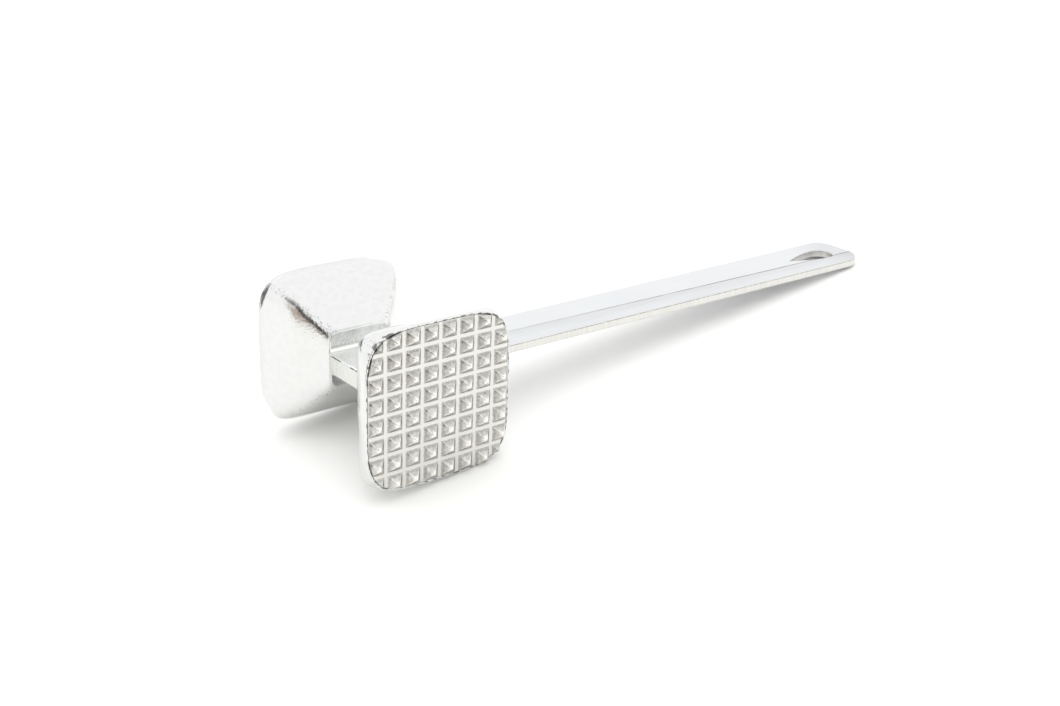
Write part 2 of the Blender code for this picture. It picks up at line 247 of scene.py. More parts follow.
def turned(name, profile, centre=(0.0, 0.0), axis="Y"):
    """A mesh turned about a line along Y or Z, from (radius, place along it) pairs in order."""
    steps = 48
    rings = []
    for radius, along in profile:
        ring = []
        for i in range(steps):
            angle = math.tau * i / steps
            a, b = centre[0] + radius * math.cos(angle), centre[1] + radius * math.sin(angle)
            ring.append((a, along, b) if axis == "Y" else (a, b, along))
        rings.append(ring)
    return loft(name, rings)


def superellipse(half_x, half_z, exponent, y, ragged=0.0):
    """A ring about Y with bowed sides and round corners, let out by up to ragged, as a seam dressed by hand is."""
    chance = random.Random(3)
    steps = 240
    ring = []
    for i in range(steps):
        angle = math.tau * (i + 0.5) / steps
        c, s = math.cos(angle), math.sin(angle)
        radius = (abs(c) ** exponent + abs(s) ** exponent) ** (-1 / exponent)
        out = ragged * chance.random() ** 2
        ring.append(((half_x + out) * radius * c, y, (half_z + out) * radius * s))
    return ring


def blend(low, high, share):
    """Goes smoothly from low to high as share goes from 0 to 1."""
    share = min(max(share, 0.0), 1.0)
    return low + (high - low) * share * share * (3 - 2 * share)


def add_object(name, data):
    made = bpy.data.objects.new(name, data)
    bpy.context.scene.collection.objects.link(made)
    return made


def carve(piece, mesh, operation="DIFFERENCE"):
    """Cuts a closed mesh from the piece, or joins or intersects the two, and keeps only the result."""
    helper = add_object("helper", mesh)
    modifier = piece.modifiers.new("carve", "BOOLEAN")
    modifier.operation = operation
    modifier.solver = "EXACT"
    modifier.object = helper
    graph = bpy.context.evaluated_depsgraph_get()
    result = bpy.data.meshes.new_from_object(piece.evaluated_get(graph))
    piece.modifiers.clear()
    old = piece.data
    piece.data = result
    bpy.data.objects.remove(helper)
    bpy.data.meshes.remove(old)
    bpy.data.meshes.remove(mesh)


def place(piece, material, cad_node, sharp=32.0):
    """Puts a finished piece on the mallet in place of its CAD node, with edges over sharp degrees kept crisp."""
    mesh = piece.data
    mesh.name = piece.name
    mesh.materials.clear()
    mesh.materials.append(material)
    mesh.shade_smooth()
    mesh.set_sharp_from_angle(angle=math.radians(sharp))
    weighted = piece.modifiers.new("weighted normals", "WEIGHTED_NORMAL")
    weighted.keep_sharp = True
    weighted.weight = 60
    mesh.transform(MALLET)
    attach(piece, "root")
    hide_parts(cad_node)


# Shapes.


def flare_narrowing(depth, arc_radius, start, end):
    """How much a bell has narrowed at this depth behind its face: an arc, then a straight flank at angle end."""
    arc_depth = arc_radius * (math.sin(end) - math.sin(start))
    if depth <= arc_depth:
        angle = math.asin(math.sin(start) + depth / arc_radius)
        return arc_radius * (math.cos(start) - math.cos(angle))
    arc_narrowing = arc_radius * (math.cos(start) - math.cos(end))
    return arc_narrowing + (depth - arc_depth) * math.tan(end)


def flank_angle(narrowing, depth, arc_radius, start):
    """The straight flank's angle that brings the bell to its neck at this depth."""
    low, high = start, math.radians(75.0)
    for _ in range(40):
        middle = (low + high) / 2
        if flare_narrowing(depth, arc_radius, start, middle) < narrowing:
            low = middle
        else:
            high = middle
    return middle


def bell_rings(head, sign, width, lip):
    """Rings from the neck out over the flank and the rounded lip, and down into the plate's recess."""
    half = width / 2
    lip_round = min(1.5 * MM, 0.85 * lip)
    depth_all = HEAD_HALF - lip_round - NECK_END
    start = math.radians(8.0)
    x_end = flank_angle(half - head.neck_width / 2, depth_all, head.flare_radius, start)
    z_end = flank_angle(half - head.neck_height / 2, depth_all, head.flare_radius, start)
    rings = []
    neck_round = 0.4 * MM
    for i in range(4):
        angle = math.pi / 2 * i / 4
        inset = neck_round * (1 - math.sin(angle))
        y = NECK_END + neck_round * (1 - math.cos(angle))
        half_x, half_z = head.neck_width / 2 - inset, head.neck_height / 2 - inset
        rings.append(superellipse(half_x, half_z, NECK_SQUARENESS, sign * y))
    steps = 56
    # The section is squarest at the waist, this share of the way to the neck.
    waist = 0.3
    for i in range(steps + 1):
        depth = (depth_all - neck_round) * (1 - i / steps)
        share = depth / depth_all
        half_x = half - flare_narrowing(depth, head.flare_radius, start, x_end)
        half_z = half - flare_narrowing(depth, head.flare_radius, start, z_end)
        if share < waist:
            exponent = blend(FACE_SQUARENESS, WAIST_SQUARENESS, share / waist)
        else:
            exponent = blend(WAIST_SQUARENESS, NECK_SQUARENESS, (share - waist) / (1 - waist))
        rings.append(superellipse(half_x, half_z, exponent, sign * (HEAD_HALF - lip_round - depth)))
    for i in range(1, 9):
        angle = math.pi / 2 * i / 8
        inset = lip_round * (1 - math.cos(angle))
        y = HEAD_HALF - lip_round * (1 - math.sin(angle))
        rings.append(superellipse(half - inset, half - inset, FACE_SQUARENESS, sign * y))
    inner = half - lip
    ragged = 0.0
    if sign < 0:
        # The lip was peened in towards the toothed plate, which closed most of the seam.
        inner -= 0.2 * MM
        ragged = 0.16 * MM
    floor = HEAD_HALF - head.plate_thickness - CLEARANCE
    for y in (HEAD_HALF - 0.05 * MM, floor):
        rings.append(superellipse(inner, inner, FACE_SQUARENESS, sign * y, ragged))
    return rings


def add_bell(head, cad_node, sign, width, lip, material):
    """One bell, with its recess, its bore for boss and screw, and its seat for the hub."""
    bell = add_object(cad_node + "_casting", loft("bell", bell_rings(head, sign, width, lip)))
    floor = HEAD_HALF - head.plate_thickness - CLEARANCE
    boss_end = POUNDING_PLATE[0].y - CLEARANCE
    seat = SCREW[1].y - SCREW_HEAD_HEIGHT - CLEARANCE
    bore = (
        (SHANK_RADIUS + CLEARANCE, NECK_END - PAST),
        (SHANK_RADIUS + CLEARANCE, seat),
        (SCREW[1].x + CLEARANCE, seat),
        (SCREW[1].x + CLEARANCE, boss_end),
        (BOSS_RADIUS + CLEARANCE, boss_end),
        (BOSS_RADIUS + CLEARANCE, floor + PAST),
    )
    carve(bell, turned("bore", [(radius, sign * y) for radius, y in bore]))
    clear = 0.05 * MM
    # The seat is a little narrower than the neck, so that it doesn't break through the flank.
    half = head.neck_width / 2 - 0.15 * MM
    low = (-half, sign * (HUB[1].y + clear), HUB[0].z - clear)
    high = (half, sign * (NECK_END - PAST), HUB[1].z + clear)
    carve(bell, block("seat", low, high))
    place(bell, material, cad_node)


def hub_section(y, grow, narrow, neck_half):
    """A round-edged rectangle across the hub, grown up and down, and narrowed to the neck as narrow goes to 1."""
    low_x, high_x = blend(HUB[0].x, -neck_half, narrow), blend(HUB[1].x, neck_half, narrow)
    half = HUB[1].z + grow
    radius = 0.7 * MM
    ring = []
    left, right, top = low_x + radius, high_x - radius, half - radius
    for x, z, turn in ((right, top, 0), (left, top, 90), (left, -top, 180), (right, -top, 270)):
        for i in range(7):
            angle = math.radians(turn + 90 * i / 6)
            ring.append((x + radius * math.cos(angle), y, z + radius * math.sin(angle)))
    return ring


def add_hub(head, handle, material):
    """The block between the bells, filleted to both, slotted for the tang and bored for screws and pins."""
    fillet = head.hub_fillet
    face = NECK_END - 0.02 * MM
    half = []
    for i in range(9):
        angle = math.pi / 2 * i / 8
        half.append((face - fillet + fillet * math.sin(angle), fillet * (1 - math.cos(angle)), i / 8))
    half += [(face, 0.0, 1.0), (HUB[1].y, 0.0, 1.0)]
    profile = [(-y, grow, narrow) for y, grow, narrow in reversed(half)] + half
    neck_half = head.neck_width / 2 - 0.2 * MM
    hub = add_object("hub_casting", loft("hub_casting", [hub_section(*row, neck_half) for row in profile]))
    slot_half = handle.tang_width / 2 + CLEARANCE
    low = (BAR[0].x - CLEARANCE, -slot_half, -BAR[1].z - CLEARANCE)
    high = (HUB[1].x + PAST, slot_half, BAR[1].z + CLEARANCE)
    carve(hub, block("slot", low, high))
    for sign in (-1, 1):
        bore = [(SHANK_RADIUS + CLEARANCE, sign * y) for y in (SCREW[0].y - CLEARANCE, HUB[1].y + PAST)]
        carve(hub, turned("bore", bore))
    for name in PINS:
        low, high = own_box(name)
        centre = ((low.x + high.x) / 2, 0.0)
        reach = HUB[1].z + PAST
        radius = (high.x - low.x) / 2 + PIN_SLACK
        carve(hub, turned("pin_hole", ((radius, -reach), (radius, reach)), centre, "Z"))
    place(hub, material, "hub")


def tooth_rings(head, height):
    """(half width, height, squareness) of the rings of one tooth, from its foot to its rounded tip."""
    base = (head.tooth_pitch - head.tooth_groove) / 2
    tip = 0.2 * MM
    slope = math.atan2(height, base - tip)
    fillet = head.tooth_fillet
    start = base + fillet * math.tan(slope / 2)
    rings = []
    for i in range(6):
        angle = slope * i / 5
        rings.append((start - fillet * math.sin(angle), fillet * (1 - math.cos(angle)), 22.0 - i))
    rise = math.tan(slope)
    for share in (0.35, 0.65, 0.88):
        half = rings[5][0] + (tip * 1.6 - rings[5][0]) * share
        rings.append((half, (base - half) * rise, 14.0))
    for half, drop in ((tip * 1.6, 0.12 * MM), (tip * 1.1, 0.04 * MM), (tip * 0.5, 0.0)):
        rings.append((half, height - drop, 6.0))
    return rings


def tooth_grid(head):
    """The toothed face as a closed slab: a square grid of pyramids with filleted feet and blunted tips."""
    pitch = head.tooth_pitch
    count = round(2 * TOOTH_PLATE[1].x / pitch)
    full = -TOOTH_PLATE[0].y - HEAD_HALF
    steps = 24
    angles = [math.tau * i / steps for i in range(steps)]
    chance = random.Random(7)
    bm = bmesh.new()
    shared = {}

    def grid_vert(x, z):
        key = (round(x * 1e7), round(z * 1e7))
        if key not in shared:
            shared[key] = bm.verts.new((x, -HEAD_HALF, z))
        return shared[key]

    for column in range(count):
        for row in range(count):
            x, z = (column - (count - 1) / 2) * pitch, (row - (count - 1) / 2) * pitch
            lean = (chance.uniform(-0.07, 0.07) * MM, chance.uniform(-0.07, 0.07) * MM)
            height = full - chance.uniform(0.0, 0.16) * MM
            edge = []
            for a in angles:
                reach = pitch / 2 / max(abs(math.cos(a)), abs(math.sin(a)))
                edge.append(grid_vert(x + reach * math.cos(a), z + reach * math.sin(a)))
            loops = [edge]
            for half, rise, square in tooth_rings(head, height):
                share = rise / height
                ring = []
                for a in angles:
                    c, s = math.cos(a), math.sin(a)
                    reach = half * (abs(c) ** square + abs(s) ** square) ** (-1 / square)
                    point = (x + reach * c + lean[0] * share, -HEAD_HALF - rise, z + reach * s + lean[1] * share)
                    ring.append(bm.verts.new(point))
                loops.append(ring)
            for lower, upper in zip(loops, loops[1:]):
                for i in range(steps):
                    j = (i + 1) % steps
                    bm.faces.new((lower[i], lower[j], upper[j], upper[i]))
            bm.faces.new(loops[-1])
    rim = [edge for edge in bm.edges if edge.is_boundary]
    made = bmesh.ops.extrude_edge_only(bm, edges=rim)["geom"]
    for item in made:
        if isinstance(item, bmesh.types.BMVert):
            item.co.y = -HEAD_HALF + head.plate_thickness
    bottom = [item for item in made if isinstance(item, bmesh.types.BMEdge) and item.is_boundary]
    bmesh.ops.contextual_create(bm, geom=bottom)
    return mesh_from(bm, "tooth_grid")


def add_boss(plate, sign, tip, head):
    """Joins the round boss on a plate's back."""
    chamfer = 0.4 * MM
    start = HEAD_HALF - head.plate_thickness / 2
    profile = [(BOSS_RADIUS, start), (BOSS_RADIUS, tip + chamfer), (BOSS_RADIUS - chamfer, tip)]
    carve(plate, turned("boss", [(radius, sign * y) for radius, y in profile]), "UNION")


def bar_outline(handle, inset):
    """The bar's plan, drawn in by inset: a narrow tang, then the bar out to its rounded end."""
    shoulder = HUB[1].x + 0.05 * MM + inset
    tang_end = BAR[0].x + inset
    tang = handle.tang_width / 2 - inset
    root, end, reach = handle.root_width / 2 - inset, BAR[1].y - inset, BAR[1].x - inset
    sides = []
    for corner in (handle.back_corner - inset, handle.front_corner - inset):
        side = [(tang_end, tang), (shoulder, tang), (shoulder, root)]
        for i in range(1, 24):
            share = i / 24
            side.append((shoulder + (reach - corner - shoulder) * share, root + (end - root) * share))
        for i in range(25):
            angle = math.pi / 2 * (1 - i / 24)
            side.append((reach - corner * (1 - math.cos(angle)), end - corner * (1 - math.sin(angle))))
        sides.append(side)
    back, front = sides
    return back + [(x, -y) for x, y in reversed(front)]


def hole_outline(handle, outset):
    """The hanging hole's plan, let out by outset: round at the bar's end, closing to a point towards the head."""
    centre = BAR[1].x - handle.hole_inset
    radius, taper = handle.hole_radius + outset, handle.hole_taper + 1.6 * outset
    steps = 28
    half = []
    for i in range(1, steps):
        share = i / steps
        half.append((centre - taper * (1 - share), radius * math.sin(math.pi / 2 * share)))
    for i in range(steps):
        angle = math.pi / 2 * (1 - i / steps)
        half.append((centre + radius * math.cos(angle), radius * math.sin(angle)))
    return [(centre - taper, 0.0)] + half + [(centre + radius, 0.0)] + [(x, -y) for x, y in reversed(half)]


FACET_SLOPE = 0.016
CREASE_DEPTH = 0.05 * MM
CREASE_HALF_WIDTH = 0.12 * MM
CREASE_START = Vector((HUB[1].x, -0.0008, 0.0))
CREASE_END = Vector((BAR[1].x, -0.0047, 0.0))
CREASE_NORMAL = (CREASE_END - CREASE_START).cross(Vector((0.0, 0.0, 1.0))).normalized()


def crease_side(x, y):
    """How far a point of the bar's top lies on the front side of the shallow crease that belt polishing left."""
    return (Vector((x, y, 0.0)) - CREASE_START).dot(CREASE_NORMAL)


def add_handle(handle, material):
    """The flat bar: rounded edges, a drop-shaped hanging hole and a top polished as two shallow facets."""
    top = BAR[1].z
    edge = handle.edge_round
    profile = []
    for i in range(6):
        angle = math.pi / 2 * i / 5
        profile.append((edge * (1 - math.sin(angle)), -top + edge * (1 - math.cos(angle))))
    profile += [(inset, -z) for inset, z in reversed(profile)]
    rings = [[(x, y, z) for x, y in bar_outline(handle, inset)] for inset, z in profile]
    mesh = loft("bar", rings)
    bm = bmesh.new()
    bm.from_mesh(mesh)
    for offset in (-CREASE_HALF_WIDTH, 0.0, CREASE_HALF_WIDTH):
        everything = bm.verts[:] + bm.edges[:] + bm.faces[:]
        place_on = CREASE_START + CREASE_NORMAL * offset
        bmesh.ops.bisect_plane(bm, geom=everything, plane_co=place_on, plane_no=CREASE_NORMAL)
    for vert in bm.verts:
        if vert.co.z > 0 and vert.co.x > HUB[1].x:
            side = crease_side(vert.co.x, vert.co.y)
            drop = FACET_SLOPE * max(0.0, side) + (CREASE_DEPTH if abs(side) < 1e-6 else 0.0)
            vert.co.z -= drop * min(1.0, vert.co.z / (top - edge))
    bm.to_mesh(mesh)
    bm.free()
    bar = add_object("handle", mesh)
    soften = handle.hole_round
    reach = top + MM
    cutter = [(soften, -reach)]
    for i in range(7):
        angle = math.pi / 2 * i / 6
        cutter.append((soften * (1 - math.sin(angle)), -top + soften * (1 - math.cos(angle))))
    cutter += [(outset, -z) for outset, z in reversed(cutter)]
    carve(bar, loft("hole", [[(x, y, z) for x, y in hole_outline(handle, outset)] for outset, z in cutter]))
    for name in PINS:
        low, high = own_box(name)
        radius = (high.x - low.x) / 2 + CLEARANCE
        carve(bar, turned("pin_hole", ((radius, -reach), (radius, reach)), ((low.x + high.x) / 2, 0.0), "Z"))
    place(bar, material, "handle_bar")
    mark_crease(bar.data)


def mark_crease(mesh):
    """Keeps the crease along the bar's top crisp."""
    for edge in mesh.edges:
        a, b = (mesh.vertices[i].co for i in edge.vertices)
        if min(a.z, b.z) > 1.2 * MM and max(abs(crease_side(a.x, a.y)), abs(crease_side(b.x, b.y))) < 1e-5:
            edge.use_edge_sharp = True


# Materials.


def node(tree, kind, inputs=(), **settings):
    """Adds a node with its settings, and sets or links its inputs. A node given stands for its output in use."""
    made = tree.nodes.new("ShaderNode" + kind)
    for key, value in settings.items():
        setattr(made, key, value)
    for key, value in inputs.items() if isinstance(inputs, dict) else enumerate(inputs):
        if isinstance(value, bpy.types.Node):
            value = next(output for output in value.outputs if output.enabled)
        if isinstance(value, bpy.types.NodeSocket):
            tree.links.new(value, made.inputs[key])
        else:
            made.inputs[key].default_value = value
    return made


def new_material(name):
    """A material, its empty tree, and a place in the mallet's own frame to hang its patterns on."""
    material = bpy.data.materials.new(name)
    material.use_nodes = True
    tree = material.node_tree
    tree.nodes.clear()
    own = node(tree, "TexCoord").outputs["Object"]
    back = MALLET.inverted()
    place_on = node(tree, "Mapping", {"Vector": own, "Location": back.translation, "Rotation": back.to_euler()})
    return material, tree, place_on


def finished(material, inputs):
    """Gives a material its Principled shader, with these inputs, and its output."""
    tree = material.node_tree
    node(tree, "OutputMaterial", {"Surface": node(tree, "BsdfPrincipled", inputs)})
    return material


def patches(tree, place_on, size, detail, *ends):
    """Soft-edged patches of this size: the first two ends of a noise become the other two, or 0 and 1."""
    noise = node(tree, "TexNoise", {"Vector": place_on, "Scale": 1 / size, "Detail": detail})
    return node(tree, "MapRange", [noise, *ends], **SMOOTH)


def facing_up(tree):
    """1 where the surface lies flat and 0 where it stands upright."""
    normal = node(tree, "TexCoord").outputs["Normal"]
    up = node(tree, "SeparateXYZ", [normal]).outputs["Z"]
    return node(tree, "MapRange", [node(tree, "Math", [up], operation="ABSOLUTE"), 0.35, 0.75], **SMOOTH)


def seam_soot_and_corner_reflection(tree, place_on, apart, size_x, size_z):
    """How much black polishing compound lies in the seam round the toothed plate: most in two of its corners,
    where the extra is a painted dark reflection.
    """
    bowed = [node(tree, "Math", [size, FACE_SQUARENESS], operation="POWER") for size in (size_x, size_z)]
    reach = node(tree, "Math", bowed, operation="ADD")
    reach = node(tree, "Math", [reach, 1 / FACE_SQUARENESS], operation="POWER")
    across = node(tree, "Math", [reach, FRONT_BELL[1].x - 0.5 * MM], operation="SUBTRACT")
    behind = node(tree, "Math", [apart["Y"], HEAD_HALF], operation="ADD")
    squares = [node(tree, "Math", [size, 2.0], operation="POWER") for size in (across, behind)]
    away = node(tree, "Math", [node(tree, "Math", squares, operation="ADD")], operation="SQRT")
    # The layer is 0.16 mm thick along the sides and 1.2 mm in the corners where X and Z differ in sign, and comes
    # and goes every 1.6 mm. The thick corners are a painted dark reflection.
    product = node(tree, "Math", [apart["X"], apart["Z"]], operation="MULTIPLY")
    side, corner = -17 * MM * 20 * MM, -22 * MM * 22 * MM
    thick = node(tree, "MapRange", [product, side, corner, 0.16 * MM, 1.2 * MM], **SMOOTH)
    patchy = patches(tree, place_on, 1.6 * MM, 5.0, 0.45, 0.62, 0.05, 1.6)
    thick = node(tree, "Math", [thick, patchy], operation="MULTIPLY")
    bare = node(tree, "Math", [away, thick], operation="DIVIDE")
    soot_and_shade = node(tree, "Math", [1.0, bare], operation="SUBTRACT", use_clamp=True)
    soot_and_shade = node(tree, "MapRange", [soot_and_shade, 0.0, 0.6], **SMOOTH)
    return node(tree, "Math", [soot_and_shade, 0.75], operation="MULTIPLY")


def polished_casting(finish, colour, sides=None):
    """Cast aluminium, tumbled and buffed: nearly mirror-bright, with the mould's ripple and soot in the seams.

    It also carries painted shade and painted dark reflections on the rims, the ridges and the hub's sides.
    """
    material, tree, place_on = new_material("buffed_cast_aluminium")
    apart = node(tree, "SeparateXYZ", [place_on]).outputs
    size_x, size_z = (node(tree, "Math", [apart[axis]], operation="ABSOLUTE") for axis in ("X", "Z"))
    off_ridge = node(tree, "Math", [size_x, size_z], operation="SUBTRACT")
    off_ridge = node(tree, "Math", [off_ridge], operation="ABSOLUTE")
    # The ripple is 5 mm from crest to crest and bends every reflection; grain of 0.8 mm breaks its edges up.
    ripple = node(tree, "TexNoise", {"Vector": place_on, "Scale": 1 / (5 * MM), "Detail": 1.5})
    ripple = node(tree, "Bump", {"Height": ripple, "Distance": 0.09 * MM})
    grain = node(tree, "TexNoise", {"Vector": place_on, "Scale": 1 / (0.8 * MM), "Detail": 4.0})
    # The buffing wheel rides over the four ridges, so they keep more of the grain than the flats between.
    kept = node(tree, "MapRange", [off_ridge, 1.0 * MM, 5.0 * MM, 1.6, 0.9], **SMOOTH)
    grain = node(tree, "Math", [grain, kept], operation="MULTIPLY")
    relief = node(tree, "Bump", {"Height": grain, "Distance": 0.07 * MM, "Normal": ripple})
    # Buffing dulls unevenly over patches of about 9 mm.
    rough = patches(tree, place_on, 9 * MM, 2.0, 0.3, 0.7, 0.10, 0.20)
    soot_and_shade = seam_soot_and_corner_reflection(tree, place_on, apart, size_x, size_z)
    # Specks of 0.55 mm in the grain along the ridges are a painted dark reflection.
    painted_reflection_specks = patches(tree, place_on, 0.55 * MM, 3.0, 0.54, 0.66, 0.0, 0.4)
    near_ridge = node(tree, "MapRange", [off_ridge, 0.4 * MM, 2.2 * MM, 1.0, 0.02], **SMOOTH)
    painted_reflection_specks = node(tree, "Math", [painted_reflection_specks, near_ridge], operation="MULTIPLY")
    soot_and_shade = node(tree, "Math", [soot_and_shade, painted_reflection_specks], operation="MAXIMUM")
    # The mould left a faint cloud of 2 mm, and the smooth side's rim is painted darker over its last 5 mm: painted
    # shade.
    cloud = patches(tree, place_on, 2.0 * MM, 4.0, 0.40, 0.66, 0.0, 0.035)
    rim = [apart["Y"], HEAD_HALF - 5.0 * MM, HEAD_HALF - 0.5 * MM, 0.0, 0.07]
    cloud_and_rim_shade = node(tree, "Math", [cloud, node(tree, "MapRange", rim, **SMOOTH)], operation="ADD")
    black = (*finish.soot_and_shade, 1.0)
    metal = node(tree, "Mix", {0: cloud_and_rim_shade, 6: (*colour, 1.0), 7: black}, data_type="RGBA")
    if sides:
        # The hub's sides are painted darker than its top, painted shade from how light falls, and dirt lies in the
        # parting line along their top edge.
        metal = node(tree, "Mix", {0: facing_up(tree), 6: (*sides, 1.0), 7: metal}, data_type="RGBA")
        line = node(tree, "Math", [HUB[1].z - 0.45 * MM, apart["Z"]], operation="SUBTRACT")
        line = node(tree, "Math", [line], operation="ABSOLUTE")
        line = node(tree, "MapRange", [line, 0.08 * MM, 0.30 * MM, 0.85, 0.0], **SMOOTH)
        broken = patches(tree, place_on, 1.8 * MM, 4.0, 0.40, 0.58)
        soot_and_shade = node(tree, "Math", [line, broken], operation="MULTIPLY")
    metal = node(tree, "Mix", {0: soot_and_shade, 6: metal, 7: black}, data_type="RGBA")
    rough = node(tree, "Math", [soot_and_shade, 0.3, rough], operation="MULTIPLY_ADD")
    return finished(material, {"Metallic": 1.0, "Base Color": metal, "Roughness": rough, "Normal": relief})


def satin_casting(finish, pitch, groove):
    """Cast aluminium left as it came from the die: a satin grey, rubbed smoother on the teeth's edges and tips,
    with painted highlights there and painted shade on the teeth and at their feet.
    """
    material, tree, place_on = new_material("satin_cast_aluminium")
    apart = node(tree, "SeparateXYZ", [place_on]).outputs
    # Each tooth's own place: how far a point is from its middle along X and Z.
    from_middle = []
    for axis in ("X", "Z"):
        shifted = node(tree, "Math", [apart[axis], pitch / 2], operation="ADD")
        wrapped = node(tree, "Math", [shifted, pitch / 2, -pitch / 2], operation="WRAP")
        from_middle.append(node(tree, "Math", [wrapped], operation="ABSOLUTE"))
    out = node(tree, "Math", from_middle, operation="MAXIMUM")
    foot = (pitch - groove) / 2
    raised = node(tree, "MapRange", [apart["Y"], -HEAD_HALF - 0.1 * MM, -HEAD_HALF - 0.5 * MM], **SMOOTH)
    # Painted shade fades in over 0.8 mm towards each tooth's foot, ends just past it and follows the die's 0.45 mm
    # grain.
    grain = node(tree, "TexNoise", {"Vector": place_on, "Scale": 1 / (0.45 * MM), "Detail": 4.0})
    inside = node(tree, "MapRange", [out, foot - 0.90 * MM, foot - 0.12 * MM], **SMOOTH)
    outside = node(tree, "MapRange", [out, foot + 0.02 * MM, foot + 0.26 * MM, 1.0, 0.0], **SMOOTH)
    painted_foot_shade = node(tree, "Math", [inside, outside], operation="MULTIPLY")
    thin = node(tree, "MapRange", [grain, 0.25, 0.7, 0.15, 0.55], **SMOOTH)
    painted_foot_shade = node(tree, "Math", [painted_foot_shade, thin], operation="MULTIPLY")
    # The edges between a tooth's faces and its tip get a painted highlight over 0.25 mm, and are rubbed smoother
    # there.
    arris = node(tree, "Math", from_middle, operation="SUBTRACT")
    arris = node(tree, "Math", [arris], operation="ABSOLUTE")
    arris = node(tree, "MapRange", [arris, 0.05 * MM, 0.25 * MM, 1.0, 0.0], **SMOOTH)
    arris = node(tree, "Math", [arris, 0.7], operation="MULTIPLY")
    tip = node(tree, "MapRange", [out, 0.3 * MM, 1.3 * MM, 1.0, 0.0], **SMOOTH)
    wear_and_highlight = node(tree, "Math", [arris, tip], operation="MAXIMUM")
    wear_and_highlight = node(tree, "Math", [wear_and_highlight, raised], operation="MULTIPLY")
    # The die left a cloud of 1.1 mm on the teeth, which are painted darker than the bright flats between them:
    # painted shade.
    cloud = patches(tree, place_on, 1.1 * MM, 4.0, 0.3, 0.7, 0.62, 0.90)
    shade_and_highlight_tone = node(tree, "Math", [cloud, node(tree, "Math", [wear_and_highlight, 0.45], operation="MULTIPLY")], operation="ADD")
    shade_and_highlight_tone = node(tree, "Mix", {0: raised, 2: 1.0, 3: shade_and_highlight_tone}, data_type="FLOAT")
    colour = node(tree, "VectorMath", {0: (*finish.satin,), "Scale": shade_and_highlight_tone}, operation="SCALE")
    colour = node(tree, "Mix", {0: painted_foot_shade, 6: colour, 7: (*finish.soot_and_shade, 1.0)}, data_type="RGBA")
    rough = node(tree, "Math", [wear_and_highlight, 0.26], operation="MULTIPLY")
    rough = node(tree, "Math", [0.34, rough], operation="SUBTRACT")
    relief = node(tree, "Bump", {"Height": grain, "Distance": 0.05 * MM})
    return finished(material, {"Metallic": 1.0, "Base Color": colour, "Roughness": rough, "Normal": relief})


def belt_gloss(tree, place_on):
    """A fine belt's streaks, some 30 mm long, and the roughness that they and patches of 12 mm give."""
    # The real ones are about 0.05 mm apart, too fine to show, so they are drawn 0.4 mm apart.
    stretch = (1 / (30 * MM), 1 / (0.4 * MM), 1 / (0.4 * MM))
    stretched = node(tree, "Mapping", {"Vector": place_on, "Scale": stretch})
    streaks = node(tree, "TexNoise", {"Vector": stretched, "Scale": 1.0})
    dull = patches(tree, place_on, 12 * MM, 3.0, 0.3, 0.7, 0.34, 0.39)
    rough = node(tree, "MapRange", [streaks, 0.3, 0.7, 0.0, 0.06], **SMOOTH)
    return streaks, node(tree, "Math", [dull, rough], operation="ADD")


def belt_polished_plate(finish):
    """Aluminium polished on a fine belt: a soft gloss with faint streaks."""
    material, tree, place_on = new_material("belt_polished_aluminium")
    rough = belt_gloss(tree, place_on)[1]
    return finished(material, {"Metallic": 1.0, "Base Color": (*finish.belt, 1.0), "Roughness": rough})


def top_of_bar(tree, finish, place_on, apart, streaks):
    """The bar's polished top: streaked lengthwise, with painted shade in front of its crease and in it, and greyer
    towards its end.
    """
    # The band in front of the crease is painted up to 9% darker: painted shade for the front facet's dimmer
    # reflection.
    side = node(tree, "VectorMath", [place_on, CREASE_NORMAL], operation="DOT_PRODUCT")
    side = node(tree, "Math", [side, CREASE_START.dot(CREASE_NORMAL)], operation="SUBTRACT")
    front = node(tree, "MapRange", [side, -0.05 * MM, 0.25 * MM], **SMOOTH)
    fading = node(tree, "MapRange", [side, 1.0 * MM, 7.0 * MM, 1.0, 0.25], **SMOOTH)
    for share in (fading, 0.09):
        front = node(tree, "Math", [front, share], operation="MULTIPLY")
    tone = node(tree, "MapRange", [apart["X"], BAR[1].x - 22 * MM, BAR[1].x - 3 * MM, 1.0, 0.90], **SMOOTH)
    tone = node(tree, "Math", [tone, front], operation="SUBTRACT")
    brushed = node(tree, "MapRange", [streaks, 0.35, 0.65], **SMOOTH)
    strength = node(tree, "MapRange", [side, -1.0 * MM, 1.0 * MM, 0.02, 0.06], **SMOOTH)
    brushed = node(tree, "Math", [brushed, strength], operation="MULTIPLY")
    tone = node(tree, "Math", [tone, brushed], operation="SUBTRACT")
    colour = node(tree, "VectorMath", {0: (*finish.belt,), "Scale": tone}, operation="SCALE")
    # Painted shade in the crease: a dark line 0.6 mm wide that comes and goes every 7 mm and is thicker towards
    # the end.
    line = node(tree, "Math", [side], operation="ABSOLUTE")
    line = node(tree, "MapRange", [line, 0.10 * MM, 0.42 * MM, 1.0, 0.0], **SMOOTH)
    along = node(tree, "MapRange", [apart["X"], 20 * MM, 170 * MM, 0.30, 0.75], **SMOOTH)
    broken = patches(tree, place_on, 7 * MM, 2.0, 0.3, 0.6, 0.6, 1.0)
    for share in (along, broken):
        line = node(tree, "Math", [line, share], operation="MULTIPLY")
    return node(tree, "Mix", {0: line, 6: colour, 7: (*finish.soot_and_shade, 1.0)}, data_type="RGBA")


